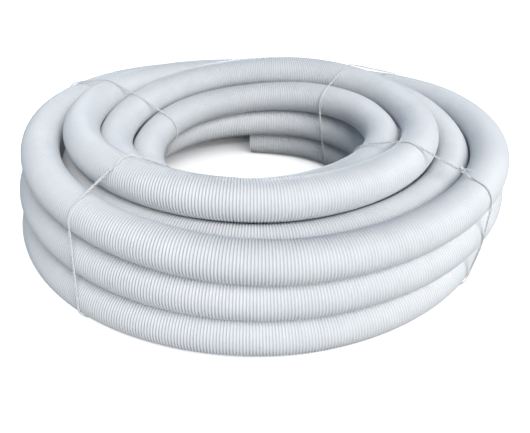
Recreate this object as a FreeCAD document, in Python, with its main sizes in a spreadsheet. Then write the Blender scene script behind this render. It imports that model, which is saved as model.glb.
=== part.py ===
import FreeCAD, Part

# A ribbed pool vacuum hose, wound into an open coil and held by four twine ties.
#
# Millimetres, +Z up. The coil lies flat: the origin is on the floor under the middle of its outline, +Y points to
# its back and +X to its right. Angles round the coil are clockwise seen from above, from the back (+Y).
# The hose is one length. It starts at its inner end on the floor, climbs the inner column of turns, crosses over,
# goes down the middle column and climbs the outer column to its outer end.

import math
import os

Vector = FreeCAD.Vector

# Driving dimensions: alias, value in millimetres, meaning.
DIMENSIONS = (
    ("hose_outer", 47.0, "outside diameter over the ribs"),
    ("hose_bore", 38.0, "bore that a cuff or a hose tail slides into"),
    ("twine", 1.5, "diameter of one strand of twine"),
    ("strand_gap", 0.2, "gap between the two strands of a tie"),
    ("tie_room", 0.7, "gap between the hose and the twine round it"),
    ("coil_lift", 2.2, "height of the lowest turns above the floor where a tie passes under them"),
    ("pivot_room", 30.0, "radius cleared round the point where a free end bends"),
    ("knot_length", 8.0, "length of a tie's knot along the twine"),
    ("knot_width", 6.0, "width of a tie's knot"),
    ("knot_height", 5.0, "height of a tie's knot"),
    ("tail_length", 12.0, "length of each cut end that leaves a knot"),
    ("origin_x", -2.2, "from the centre of the winding to the origin, along X"),
    ("origin_y", 23.2, "from the centre of the winding to the origin, along Y"),
)

# The lay of the hose, one row for each turn: the radius and then the height of its centre line, in hose diameters,
# at the back, right, front and left of the coil.
LAY = (
    ((4.10, 3.75, 3.70, 3.95), (0.50, 0.50, 0.65, 1.25)),
    ((3.50, 3.75, 3.56, 3.39), (1.53, 1.55, 1.69, 2.13)),
    ((3.25, 3.60, 4.00, 4.30), (2.55, 2.75, 2.70, 2.65)),
    ((4.15, 4.60, 4.95, 5.15), (3.20, 3.10, 3.20, 3.20)),
    ((5.50, 5.55, 5.35, 5.35), (2.75, 2.40, 2.25, 2.15)),
    ((5.15, 4.90, 4.80, 5.00), (1.70, 1.52, 1.40, 1.15)),
    ((5.20, 5.10, 5.30, 5.80), (0.60, 0.50, 0.50, 0.50)),
    ((6.30, 6.40, 6.35, 6.85), (0.50, 0.50, 0.50, 0.60)),
    ((7.35, 6.75, 6.30, 6.65), (0.75, 1.65, 1.52, 1.80)),
    ((7.35, 6.65, 6.35, 6.25), (1.78, 2.70, 2.55, 3.00)),
)
LAY_AFTER_LAST_TURN = (6.50, 2.30)
ON_THE_FLOOR = 0.5
TURN_NAMES = (
    "hose_inner_turn_1", "hose_inner_turn_2", "hose_inner_turn_3", "hose_crossing_turn",
    "hose_middle_turn_3", "hose_middle_turn_2", "hose_middle_turn_1",
    "hose_outer_turn_1", "hose_outer_turn_2", "hose_outer_turn_3",
)

# The route has a point every POINT_STEP degrees; the outer end is cut between two of them.
POINT_STEP = 18.0
INNER_END_ANGLE = -4.0
LAST_FULL_POINT = 199
OUTER_END_ANGLE = 3587.0
# Runs, counted from the inner end, whose middle is a free end's bending point.
INNER_PIVOT_RUN = 1
OUTER_PIVOT_RUN = 198
RUNS_PER_TURN = 20
# Share of the shorter run that an arc takes at each side of its point.
ARC_SHARE = 0.45

# Each tie's name, its angle round the coil and the side of the bundle, outwards and up, that its knot is on.
TIES = (
    ("tie_back_right", 45.0, (1.0, 0.1)),
    ("tie_front_right", 129.0, (0.3, 1.0)),
    ("tie_front_left", 218.0, (-1.0, 0.1)),
    ("tie_back_left", 290.0, (1.0, 0.1)),
)
# The turns are lifted fully this many degrees each side of a tie, and lie on the floor again further out.
LIFT_PLATEAU = 20.0
LIFT_FOOT = 42.0


def add_dimensions(doc):
    """Make the sheet of driving dimensions."""
    sheet = doc.addObject("Spreadsheet::Sheet", "Dimensions")
    for row, (alias, value, meaning) in enumerate(DIMENSIONS, start=1):
        sheet.set("A%d" % row, meaning)
        sheet.set("B%d" % row, str(value))
        sheet.setAlias("B%d" % row, alias)
    doc.recompute()
    return sheet


def through(values, position):
    """Value of a smooth curve through evenly spaced values, at a position counted in spacings."""
    values = [2 * values[0] - values[1]] + list(values) + [2 * values[-1] - values[-2]]
    index = min(max(int(math.floor(position)), 0), len(values) - 4)
    t = position - index
    a, b, c, d = values[index:index + 4]
    return 0.5 * (2 * b + (c - a) * t + (2 * a - 5 * b + 4 * c - d) * t ** 2 + (3 * b - a - 3 * c + d) * t ** 3)


RADII = [value for row in LAY for value in row[0]] + [LAY_AFTER_LAST_TURN[0]]
HEIGHTS = [value for row in LAY for value in row[1]] + [LAY_AFTER_LAST_TURN[1]]


def lift_share(angle):
    """Share of the coil's lift at an angle: 1 over a tie, 0 between the ties."""
    nearest = min(abs((angle - tie_angle + 180.0) % 360.0 - 180.0) for _, tie_angle, _ in TIES)
    share = min(max((LIFT_FOOT - nearest) / (LIFT_FOOT - LIFT_PLATEAU), 0.0), 1.0)
    return share * share * (3.0 - 2.0 * share)


def hose_section(angle, sheet):
    """Radius and height of the hose's centre line at an angle counted from the start of the first turn."""
    quarter = angle / 90.0
    radius = through(RADII, quarter) * sheet.hose_outer
    height = max(through(HEIGHTS, quarter), ON_THE_FLOOR) * sheet.hose_outer
    return radius, height + sheet.coil_lift * lift_share(angle)


def place(angle, radius, height, sheet):
    """Point at an angle, a radius and a height of the winding, in the part's frame."""
    turn = math.radians(angle)
    return Vector(radius * math.sin(turn) - sheet.origin_x, radius * math.cos(turn) - sheet.origin_y, height)


def route_points(sheet):
    """Corner points of the hose's route: each lies outside the winding by what the arcs cut off."""
    outward = 1.0 / math.cos(math.radians(POINT_STEP / 2.0))
    angles = [INNER_END_ANGLE + POINT_STEP * i for i in range(LAST_FULL_POINT + 1)] + [OUTER_END_ANGLE]
    points = []
    for angle in angles:
        radius, height = hose_section(angle, sheet)
        points.append(place(angle, radius * outward, height, sheet))
    return points


def corner_arc(before, corner, after):
    """Start, middle, end and radius of the arc that rounds a corner of the route."""
    back = before - corner
    ahead = after - corner
    reach = ARC_SHARE * min(back.Length, ahead.Length)
    half_turn = (math.pi - back.getAngle(ahead)) / 2.0
    radius = reach / math.tan(half_turn)
    back.normalize()
    ahead.normalize()
    inward = (back + ahead).normalize()
    start = corner + back * reach
    end = corner + ahead * reach
    middle = corner + inward * (radius / math.cos(half_turn) - radius)
    return start, middle, end, radius


def middle_of_run(points, run):
    """Middle of the run between a point of the route and the next one."""
    return (points[run] + points[run + 1]) * 0.5


def hose_wire(points, start, corners, end):
    """Straight runs joined by tangent arcs, from start to end round the given corners of the route."""
    edges = []
    radii = []
    here = start
    for corner in corners:
        arc_start, arc_middle, arc_end, radius = corner_arc(points[corner - 1], points[corner], points[corner + 1])
        edges.append(Part.LineSegment(here, arc_start).toShape())
        edges.append(Part.Arc(arc_start, arc_middle, arc_end).toShape())
        radii.append(radius)
        here = arc_end
    edges.append(Part.LineSegment(here, end).toShape())
    return Part.Wire(edges), radii


def add_sweep(doc, name, spine, start, direction, radius_formula):
    """Sweep a circle, whose radius is a formula of the sheet, along a wire."""
    circle = doc.addObject("Part::Circle", name + "_circle")
    circle.setExpression("Radius", radius_formula)
    circle.Placement = FreeCAD.Placement(start, FreeCAD.Rotation(Vector(0, 0, 1), direction))
    sweep = doc.addObject("Part::Sweep", name)
    sweep.Sections = [circle]
    sweep.Spine = (spine, [])
    sweep.Solid = True
    sweep.Frenet = False
    return sweep


def add_cut(doc, name, base, tool):
    """Cut one object from another."""
    cut = doc.addObject("Part::Cut", name)
    cut.Base = base
    cut.Tool = tool
    return cut


def add_tube(doc, name, wire, bend_dome):
    """Hollow hose along a wire; with a bend dome, its first face is rounded so that it can swing there."""
    spine = doc.addObject("Part::Feature", name + "_route")
    spine.Shape = wire
    first = wire.OrderedEdges[0]
    start = first.valueAt(first.FirstParameter)
    direction = first.tangentAt(first.FirstParameter)
    outer = add_sweep(doc, name + "_outside", spine, start, direction, "Dimensions.hose_outer / 2")
    bore = add_sweep(doc, name + "_bore", spine, start, direction, "Dimensions.hose_bore / 2")
    tube = add_cut(doc, name + "_tube", outer, bore)
    if not bend_dome:
        return tube
    backwards = FreeCAD.Placement(start, FreeCAD.Rotation(Vector(0, 0, 1), direction * -1))
    dome = doc.addObject("Part::Sphere", name + "_dome")
    dome.setExpression("Radius", "Dimensions.hose_outer / 2")
    dome.Angle1 = 0.0
    dome.Placement = backwards
    passage = doc.addObject("Part::Cylinder", name + "_passage")
    passage.setExpression("Radius", "Dimensions.hose_bore / 2")
    passage.setExpression("Height", "Dimensions.hose_outer")
    passage.Placement = backwards
    lip = add_cut(doc, name + "_lip", dome, passage)
    joined = doc.addObject("Part::Fuse", name + "_joined")
    joined.Base = tube
    joined.Tool = lip
    return joined


def clear_pivot(doc, name, tube, pivot):
    """Cut away a turn's last few millimetres so that the free end beside it has room to swing."""
    room = doc.addObject("Part::Sphere", name + "_pivot_room")
    room.setExpression("Radius", "Dimensions.pivot_room")
    room.Placement = FreeCAD.Placement(pivot, FreeCAD.Rotation())
    return add_cut(doc, name + "_cleared", tube, room)


def add_hose(doc, sheet):
    """The hose: its two free ends and one node for each turn, meeting face to face."""
    points = route_points(sheet)
    backwards = points[::-1]
    last = len(points) - 1
    inner_pivot = middle_of_run(points, INNER_PIVOT_RUN)
    outer_pivot = middle_of_run(points, OUTER_PIVOT_RUN)
    routes = [("hose_inner_end", hose_wire(backwards, inner_pivot, range(last - INNER_PIVOT_RUN, last), points[0]))]
    for index, name in enumerate(TURN_NAMES):
        first_run = INNER_PIVOT_RUN + RUNS_PER_TURN * index
        end_run = min(first_run + RUNS_PER_TURN, OUTER_PIVOT_RUN)
        corners = range(first_run + 1, end_run + 1)
        ends = (middle_of_run(points, first_run), middle_of_run(points, end_run))
        routes.append((name, hose_wire(points, ends[0], corners, ends[1])))
    routes.append(("hose_outer_end", hose_wire(points, outer_pivot, range(OUTER_PIVOT_RUN + 1, last), points[last])))

    nodes = []
    for name, (wire, _) in routes:
        free_end = name not in TURN_NAMES
        tube = add_tube(doc, name, wire, free_end)
        if name == TURN_NAMES[0]:
            tube = clear_pivot(doc, name, tube, inner_pivot)
        if name == TURN_NAMES[-1]:
            tube = clear_pivot(doc, name, tube, outer_pivot)
        nodes.append((name, tube))
    print("bend points: inner %s, outer %s" % (tuple(inner_pivot), tuple(outer_pivot)))
    return nodes, routes


def hull(points):
    """Corners of the convex outline round some points, anticlockwise."""
    points = sorted(points)

    def chain(ordered):
        line = []
        for point in ordered:
            while len(line) > 1 and cross(line[-2], line[-1], point) <= 0.0:
                line.pop()
            line.append(point)
        return line[:-1]

    return chain(points) + chain(points[::-1])


def cross(a, b, c):
    """Twice the area of a triangle, positive when it turns to the left."""
    return (b[0] - a[0]) * (c[1] - a[1]) - (b[1] - a[1]) * (c[0] - a[0])


def tie_outline(angle, sheet):
    """Hull corners of the turns that a tie goes round, and how far its centre line stands off them."""
    sections = [hose_section(angle + 360.0 * turn, sheet) for turn in range(len(LAY))]
    stand_off = sheet.hose_outer / 2.0 + sheet.tie_room + sheet.twine / 2.0
    return hull(sections), stand_off


def edge_normal(a, b):
    """Outward normal of a hull edge."""
    length = math.hypot(b[0] - a[0], b[1] - a[1])
    return (b[1] - a[1]) / length, -(b[0] - a[0]) / length


def strand_wire(angle, side, sheet):
    """Closed route of one strand: tangent lines between the turns and arcs round them."""
    corners, stand_off = tie_outline(angle, sheet)
    turn = math.radians(angle)
    sideways = Vector(math.cos(turn), -math.sin(turn), 0.0) * (side * (sheet.twine + sheet.strand_gap) / 2.0)
    count = len(corners)
    normals = [edge_normal(corners[i], corners[(i + 1) % count]) for i in range(count)]

    def spot(corner, normal):
        return place(angle, corner[0] + normal[0] * stand_off, corner[1] + normal[1] * stand_off, sheet) + sideways

    edges = []
    for i, corner in enumerate(corners):
        before = normals[i - 1]
        after = normals[i]
        bisector = (before[0] + after[0], before[1] + after[1])
        length = math.hypot(*bisector)
        bisector = (bisector[0] / length, bisector[1] / length)
        edges.append(Part.Arc(spot(corner, before), spot(corner, bisector), spot(corner, after)).toShape())
        edges.append(Part.LineSegment(spot(corner, after), spot(corners[(i + 1) % count], after)).toShape())
    return Part.Wire(edges)


def knot_placement(angle, facing, sheet):
    """Where a tie's knot sits: the middle of the straight stretch that faces the given way."""
    corners, stand_off = tie_outline(angle, sheet)
    pairs = list(zip(corners, corners[1:] + corners[:1]))
    start, end = max(pairs, key=lambda pair: facing_score(pair, facing))
    normal = edge_normal(start, end)
    reach = stand_off + sheet.twine / 2.0
    radius = (start[0] + end[0]) / 2.0 + normal[0] * reach
    height = (start[1] + end[1]) / 2.0 + normal[1] * reach
    turn = math.radians(angle)
    outward = Vector(math.sin(turn), math.cos(turn), 0.0)
    along = (outward * (end[0] - start[0]) + Vector(0, 0, end[1] - start[1])).normalize()
    up = (outward * normal[0] + Vector(0, 0, normal[1])).normalize()
    rotation = FreeCAD.Rotation(along, up.cross(along), up, "XZY")
    return FreeCAD.Placement(place(angle, radius, height, sheet), rotation)


def facing_score(pair, facing):
    """How well a stretch of a tie faces the given way."""
    normal = edge_normal(*pair)
    return (normal[0] * facing[0] + normal[1] * facing[1]) / math.hypot(*facing)


def add_tie(doc, name, angle, facing, sheet):
    """One tie: two strands round the bundle, their knot and the two cut ends that leave it."""
    pieces = []
    for label, side in (("left", -1.0), ("right", 1.0)):
        wire = strand_wire(angle, side, sheet)
        spine = doc.addObject("Part::Feature", "%s_%s_route" % (name, label))
        spine.Shape = wire
        first = wire.OrderedEdges[0]
        pieces.append(add_sweep(doc, "%s_%s_strand" % (name, label), spine, first.valueAt(first.FirstParameter),
                                first.tangentAt(first.FirstParameter), "Dimensions.twine / 2"))
    seat = knot_placement(angle, facing, sheet)
    knot = doc.addObject("Part::Ellipsoid", name + "_knot")
    knot.setExpression("Radius1", "Dimensions.knot_height / 2")
    knot.setExpression("Radius2", "Dimensions.knot_length / 2")
    knot.setExpression("Radius3", "Dimensions.knot_width / 2")
    knot.Placement = seat
    pieces.append(knot)
    for label, lean in (("first", 60.0), ("second", -60.0)):
        tail = doc.addObject("Part::Cylinder", "%s_%s_tail" % (name, label))
        tail.setExpression("Radius", "Dimensions.twine / 2")
        tail.setExpression("Height", "Dimensions.tail_length")
        tail.Placement = seat.multiply(FreeCAD.Placement(Vector(), FreeCAD.Rotation(Vector(0, 1, 0), lean)))
        pieces.append(tail)
    tie = doc.addObject("Part::MultiFuse", name + "_joined")
    tie.Shapes = pieces
    return tie


def check(doc, nodes, routes, sheet):
    """Stop if an object failed or a shape is unsound, and compare the tubes with their length."""
    for item in doc.Objects:
        if "Invalid" in item.State or "Error" in item.State:
            raise RuntimeError("failed object: %s" % item.Name)
    for name, node in nodes:
        if node.Shape.isNull() or not node.Shape.isValid():
            raise RuntimeError("bad shape: %s" % name)
    ring = math.pi / 4.0 * (sheet.hose_outer ** 2 - sheet.hose_bore ** 2)
    volumes = {name: node.Shape.Volume for name, node in nodes}
    for name, (wire, _) in routes:
        share = volumes[name] / (ring * wire.Length)
        print("%-20s length %7.1f mm, volume over ring times length %.4f" % (name, wire.Length, share))
    radii = [radius for _, (_, piece_radii) in routes for radius in piece_radii]
    print("bend radii %.0f to %.0f mm" % (min(radii), max(radii)))
    print("hose length %.1f mm" % sum(wire.Length for _, (wire, _) in routes))
    box = FreeCAD.BoundBox()
    for _, node in nodes:
        box.add(node.Shape.BoundBox)
    for axis, low, high in (("x", box.XMin, box.XMax), ("y", box.YMin, box.YMax), ("z", box.ZMin, box.ZMax)):
        print("outline %s %.2f to %.2f mm" % (axis, low, high))


def main():
    """Build the coil, check it and write each node."""
    doc = FreeCAD.newDocument("coiled_vacuum_hose")
    sheet = add_dimensions(doc)
    nodes, routes = add_hose(doc, sheet)
    for name, angle, facing in TIES:
        nodes.append((name, add_tie(doc, name, angle, facing, sheet)))
    for name, node in nodes:
        node.Label = name
    doc.recompute()
    check(doc, nodes, routes, sheet)
    os.makedirs("parts", exist_ok=True)
    for name, node in nodes:
        node.Shape.exportStep("parts/%s.step" % name)


main()
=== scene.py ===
"""A ribbed pool vacuum hose, wound into an open coil and held by four twine ties.

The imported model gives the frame, and this script builds what shows of the object. Metres, +Z up: the
origin is on the floor under the middle of the coil's outline, +Y points to its back and +X to its right.
Angles round the coil are clockwise seen from above, from the back.
"""

import logging
import math
from dataclasses import dataclass, field
from enum import Enum

import bpy
import numpy as np
from mathutils import Euler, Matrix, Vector

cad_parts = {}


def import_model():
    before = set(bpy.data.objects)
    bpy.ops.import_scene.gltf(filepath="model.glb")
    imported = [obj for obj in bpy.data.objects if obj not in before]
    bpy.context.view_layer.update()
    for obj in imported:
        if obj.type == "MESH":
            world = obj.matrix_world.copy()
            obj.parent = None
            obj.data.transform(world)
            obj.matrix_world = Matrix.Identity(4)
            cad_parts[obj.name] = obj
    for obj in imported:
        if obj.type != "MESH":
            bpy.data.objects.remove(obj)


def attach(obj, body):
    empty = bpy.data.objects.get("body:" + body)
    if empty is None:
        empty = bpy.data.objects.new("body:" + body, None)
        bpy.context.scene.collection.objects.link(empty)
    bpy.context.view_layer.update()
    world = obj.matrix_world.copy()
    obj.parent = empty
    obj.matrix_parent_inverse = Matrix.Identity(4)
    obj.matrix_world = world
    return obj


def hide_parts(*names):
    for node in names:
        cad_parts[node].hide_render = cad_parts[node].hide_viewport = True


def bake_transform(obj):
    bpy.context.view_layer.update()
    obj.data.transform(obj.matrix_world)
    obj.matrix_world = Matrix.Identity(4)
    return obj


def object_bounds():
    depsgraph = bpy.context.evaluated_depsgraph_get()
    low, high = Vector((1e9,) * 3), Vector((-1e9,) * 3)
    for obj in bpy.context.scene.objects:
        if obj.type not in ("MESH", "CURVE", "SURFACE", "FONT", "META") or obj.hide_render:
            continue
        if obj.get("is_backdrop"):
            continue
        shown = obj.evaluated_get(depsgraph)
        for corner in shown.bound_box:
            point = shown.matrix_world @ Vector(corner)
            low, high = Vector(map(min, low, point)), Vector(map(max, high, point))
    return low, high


LOG = logging.getLogger("coiled_hose")
BAKE_LAYOUT = "OFBake"
REST_PLACE = "rest_place"
VALLEY = "valley"
FULL_TURN = 2.0 * math.pi
# Share of a band of the bake layout that stays free on either side, and the share that is used.
MARGIN = 0.04
PACKING = 1.0 - 2.0 * MARGIN

Array = np.ndarray
Colour = tuple[float, float, float]

WHITE: Colour = (1.0, 1.0, 1.0)


class Body(Enum):
    """The CAD bodies that pieces ride on."""

    COIL = "coil"
    INNER_END = "inner_end"
    OUTER_END = "outer_end"


class Slot(Enum):
    """The record's material slots."""

    HOSE = "hose"
    TWINE = "twine"


class Face(Enum):
    """What a mesh face belongs to; the value is its material's place on the piece."""

    SKIN = 0
    INSIDE = 1


# --------------------------------------------------------------------------------------------------
# The lay of the hose
# --------------------------------------------------------------------------------------------------


def through(values: list[float], position: float) -> float:
    """Read a smooth curve that goes through evenly spaced values.

    Args:
        values: The values, one spacing apart.
        position: Where to read the curve, counted in spacings.

    Returns:
        The curve's value there.
    """
    values = [2 * values[0] - values[1]] + list(values) + [2 * values[-1] - values[-2]]
    index = min(max(int(math.floor(position)), 0), len(values) - 4)
    t = position - index
    a, b, c, d = values[index : index + 4]
    return 0.5 * (2 * b + (c - a) * t + (2 * a - 5 * b + 4 * c - d) * t**2 + (3 * b - a - 3 * c + d) * t**3)


@dataclass(frozen=True)
class Winding:
    """How the hose lies: the frame's lay, from which its route and the ties are worked out.

    Each row of the lay is one turn: the radius and then the height of the centre line, in hose diameters,
    at the back, right, front and left of the coil. The fifth row stands a few millimetres further out and
    higher at the right than the frame's, so that this turn comes up to the outer one beside it.
    """

    hose_outer: float = 0.047
    coil_lift: float = 0.0022
    on_the_floor: float = 0.5
    origin: tuple[float, float] = (-0.0022, 0.0232)
    point_step: float = 18.0
    inner_end_angle: float = -4.0
    last_full_point: int = 199
    outer_end_angle: float = 3587.0
    lift_plateau: float = 20.0
    lift_foot: float = 42.0
    tie_angles: tuple[float, ...] = (45.0, 129.0, 218.0, 290.0)
    lay: tuple = (
        ((4.10, 3.75, 3.70, 3.95), (0.50, 0.50, 0.65, 1.25)),
        ((3.50, 3.75, 3.56, 3.39), (1.53, 1.55, 1.69, 2.13)),
        ((3.25, 3.60, 4.00, 4.30), (2.55, 2.75, 2.70, 2.65)),
        ((4.15, 4.60, 4.95, 5.15), (3.20, 3.10, 3.20, 3.20)),
        ((5.50, 5.62, 5.35, 5.35), (2.75, 2.50, 2.26, 2.15)),
        ((5.15, 4.90, 4.80, 5.00), (1.70, 1.52, 1.40, 1.15)),
        ((5.20, 5.10, 5.30, 5.80), (0.60, 0.50, 0.50, 0.50)),
        ((6.30, 6.40, 6.35, 6.85), (0.50, 0.50, 0.50, 0.60)),
        ((7.35, 6.75, 6.30, 6.65), (0.75, 1.65, 1.52, 1.80)),
        ((7.35, 6.65, 6.35, 6.25), (1.78, 2.70, 2.55, 3.00)),
    )
    after_last_turn: tuple[float, float] = (6.50, 2.30)

    def lift_share(self, angle: float) -> float:
        """Share of the coil's lift at an angle: 1 over a tie, 0 between the ties."""
        nearest = min(abs((angle - tie + 180.0) % 360.0 - 180.0) for tie in self.tie_angles)
        share = (self.lift_foot - nearest) / (self.lift_foot - self.lift_plateau)
        share = min(max(share, 0.0), 1.0)
        return share * share * (3.0 - 2.0 * share)

    def section(self, angle: float) -> tuple[float, float]:
        """Give the radius and height of the centre line.

        Args:
            angle: Degrees from the start of the first turn.

        Returns:
            The radius and the height, in metres.
        """
        radii = [value for row in self.lay for value in row[0]] + [self.after_last_turn[0]]
        heights = [value for row in self.lay for value in row[1]] + [self.after_last_turn[1]]
        radius = through(radii, angle / 90.0) * self.hose_outer
        height = max(through(heights, angle / 90.0), self.on_the_floor) * self.hose_outer
        return radius, height + self.coil_lift * self.lift_share(angle)

    def place(self, angle: float, radius: float, height: float) -> tuple[float, float, float]:
        """Point at an angle, a radius and a height of the winding, in the row frame."""
        turn = math.radians(angle)
        return (
            radius * math.sin(turn) - self.origin[0],
            radius * math.cos(turn) - self.origin[1],
            height,
        )

    def route(self) -> list[tuple[float, float, float]]:
        """Corner points of the hose's route, from its inner end to its outer end."""
        outward = 1.0 / math.cos(math.radians(self.point_step / 2.0))
        angles = [self.inner_end_angle + self.point_step * i for i in range(self.last_full_point + 1)]
        points = []
        for angle in [*angles, self.outer_end_angle]:
            radius, height = self.section(angle)
            points.append(self.place(angle, radius * outward, height))
        return points


# --------------------------------------------------------------------------------------------------
# Lines and the directions round them
# --------------------------------------------------------------------------------------------------


def unit(vectors: Array) -> Array:
    """The vectors, each scaled to a length of 1."""
    return vectors / np.linalg.norm(vectors, axis=-1, keepdims=True)


def spline_line(points: list[tuple[float, float, float]], steps: int) -> Array:
    """Read the smooth line of a NURBS spline.

    Args:
        points: The spline's control points.
        steps: How many pieces the line has for each control point.

    Returns:
        Points along the line, one row each.
    """
    curve = bpy.data.curves.new("route", "CURVE")
    curve.dimensions = "3D"
    curve.resolution_u = steps
    spline = curve.splines.new("NURBS")
    spline.points.add(len(points) - 1)
    for control, point in zip(spline.points, points):
        control.co = (*point, 1.0)
    spline.order_u = 3
    spline.use_endpoint_u = True
    bare = bpy.data.objects.new("route", curve)
    mesh = bpy.data.meshes.new_from_object(bare)
    line = np.array([vertex.co for vertex in mesh.vertices], float)
    bpy.data.meshes.remove(mesh)
    bpy.data.objects.remove(bare)
    bpy.data.curves.remove(curve)
    return line


@dataclass
class CentreLine:
    """A line that can be read at any distance along it, with the directions outwards and upwards there."""

    points: Array
    along: Array = field(init=False)
    ahead: Array = field(init=False)

    def __post_init__(self) -> None:
        """Measure the line."""
        steps = np.linalg.norm(np.diff(self.points, axis=0), axis=1)
        self.along = np.concatenate([[0.0], np.cumsum(steps)])
        self.ahead = unit(np.gradient(self.points, self.along, axis=0))

    @property
    def length(self) -> float:
        """The line's whole length."""
        return float(self.along[-1])

    def nearest(self, point: Array) -> float:
        """Distance along the line of its point that is nearest to the given one."""
        return float(self.along[np.linalg.norm(self.points - point, axis=1).argmin()])

    def at(self, distance: Array) -> Array:
        """Points at distances along the line."""
        return np.stack([np.interp(distance, self.along, self.points[:, k]) for k in range(3)], axis=-1)

    def frames(self, distance: Array) -> tuple[Array, Array, Array]:
        """Give the line's own directions.

        Args:
            distance: Distances along the line.

        Returns:
            The directions ahead, outwards (level, away from the coil's axis) and upwards, for each distance.
        """
        ahead = unit(np.stack([np.interp(distance, self.along, self.ahead[:, k]) for k in range(3)], axis=-1))
        outward = unit(np.cross(np.array([0.0, 0.0, 1.0]), ahead))
        return ahead, outward, np.cross(ahead, outward)

    def stretch(self, start: float, end: float, step: float) -> Array:
        """Points of the line between two distances, about a step apart."""
        return self.at(np.linspace(start, end, max(2, math.ceil(abs(end - start) / step) + 1)))


# --------------------------------------------------------------------------------------------------
# Mesh making
# --------------------------------------------------------------------------------------------------


@dataclass
class Surface:
    """Vertices, faces and what is stored on them, gathered before they become one mesh."""

    places: list[Array] = field(default_factory=list)
    rest: list[Array] = field(default_factory=list)
    valleys: list[Array] = field(default_factory=list)
    faces: list[Array] = field(default_factory=list)
    layouts: list[Array] = field(default_factory=list)
    kinds: list[Array] = field(default_factory=list)
    sharp_rings: list[Array] = field(default_factory=list)
    count: int = 0

    def add_vertices(self, places: Array, rest: Array, valley: Array) -> Array:
        """Add vertices.

        Args:
            places: Where they are, with any leading shape.
            rest: Their places on the straightened piece, which the finishes read.
            valley: How deep in a groove each is, from 0 to 1.

        Returns:
            Their numbers, in the leading shape of places.
        """
        shape = places.shape[:-1]
        added = int(np.prod(shape))
        self.places.append(places.reshape(-1, 3))
        self.rest.append(rest.reshape(-1, 3))
        self.valleys.append(np.broadcast_to(valley, shape).reshape(-1))
        numbers = np.arange(self.count, self.count + added).reshape(shape)
        self.count += added
        return numbers

    def add_faces(self, corners: Array, layout: Array, kind: Face) -> None:
        """Add four-cornered faces; those with two corners alike become triangles, and those with more go.

        Args:
            corners: Vertex numbers, four to a row.
            layout: The corners' places in the bake layout, four pairs to a row.
            kind: What the faces belong to.
        """
        following = np.roll(corners, -1, axis=1)
        alike = (corners == following).sum(axis=1)
        across = (corners[:, 0] == corners[:, 2]) | (corners[:, 1] == corners[:, 3])
        keep = (alike <= 1) & ~across
        self.faces.append(corners[keep])
        self.layouts.append(layout[keep])
        self.kinds.append(np.full(int(keep.sum()), kind.value))

    def build(self, name: str) -> bpy.types.Object:
        """Make the mesh and its object.

        Args:
            name: The piece's name.

        Returns:
            The object, linked to the scene.
        """
        corners = np.concatenate(self.faces)
        layout = np.concatenate(self.layouts)
        used = corners != np.roll(corners, -1, axis=1)
        totals = used.sum(axis=1)
        starts = np.concatenate([[0], np.cumsum(totals)[:-1]])
        mesh = bpy.data.meshes.new(name)
        mesh.vertices.add(self.count)
        mesh.vertices.foreach_set("co", np.concatenate(self.places).astype(np.float32).ravel())
        mesh.loops.add(int(totals.sum()))
        mesh.loops.foreach_set("vertex_index", corners[used].astype(np.int32))
        mesh.polygons.add(len(starts))
        mesh.polygons.foreach_set("loop_start", starts.astype(np.int32))
        mesh.polygons.foreach_set("material_index", np.concatenate(self.kinds).astype(np.int32))
        mesh.update(calc_edges=True)
        mesh.polygons.foreach_set("use_smooth", np.ones(len(starts), bool))
        rest = mesh.attributes.new(REST_PLACE, "FLOAT_VECTOR", "POINT")
        rest.data.foreach_set("vector", np.concatenate(self.rest).astype(np.float32).ravel())
        valley = mesh.attributes.new(VALLEY, "FLOAT", "POINT")
        valley.data.foreach_set("value", np.concatenate(self.valleys).astype(np.float32))
        bake = mesh.uv_layers.new(name=BAKE_LAYOUT)
        bake.data.foreach_set("uv", layout[used].astype(np.float32).ravel())
        self._mark_sharp(mesh)
        mesh.validate()
        piece = bpy.data.objects.new(name, mesh)
        bpy.context.scene.collection.objects.link(piece)
        return piece

    def _mark_sharp(self, mesh: bpy.types.Mesh) -> None:
        """Keep the edges of the cut ends crisp under smooth shading."""
        if not self.sharp_rings:
            return
        ends = np.zeros(len(mesh.edges) * 2, np.int32)
        mesh.edges.foreach_get("vertices", ends)
        ends = ends.reshape(-1, 2)
        ring_of = np.full(self.count, -1)
        for number, ring in enumerate(self.sharp_rings):
            ring_of[ring] = number
        sharp = (ring_of[ends[:, 0]] >= 0) & (ring_of[ends[:, 0]] == ring_of[ends[:, 1]])
        marks = mesh.attributes.new("sharp_edge", "BOOLEAN", "EDGE")
        marks.data.foreach_set("value", sharp)


def quads(grid: Array) -> Array:
    """Corner numbers of the faces between the neighbours of a grid, four to a row."""
    corners = [grid[:-1, :-1], grid[1:, :-1], grid[1:, 1:], grid[:-1, 1:]]
    return np.stack(corners, axis=-1).reshape(-1, 4)


def quad_layout(across: Array, up: Array) -> Array:
    """Bake places of the faces of a grid whose vertices have these places, four pairs to a row."""
    grid = np.stack(np.broadcast_arrays(across, up), axis=-1)
    corners = [grid[:-1, :-1], grid[1:, :-1], grid[1:, 1:], grid[:-1, 1:]]
    return np.stack(corners, axis=-2).reshape(-1, 4, 2)


# --------------------------------------------------------------------------------------------------
# The hose
# --------------------------------------------------------------------------------------------------


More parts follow.
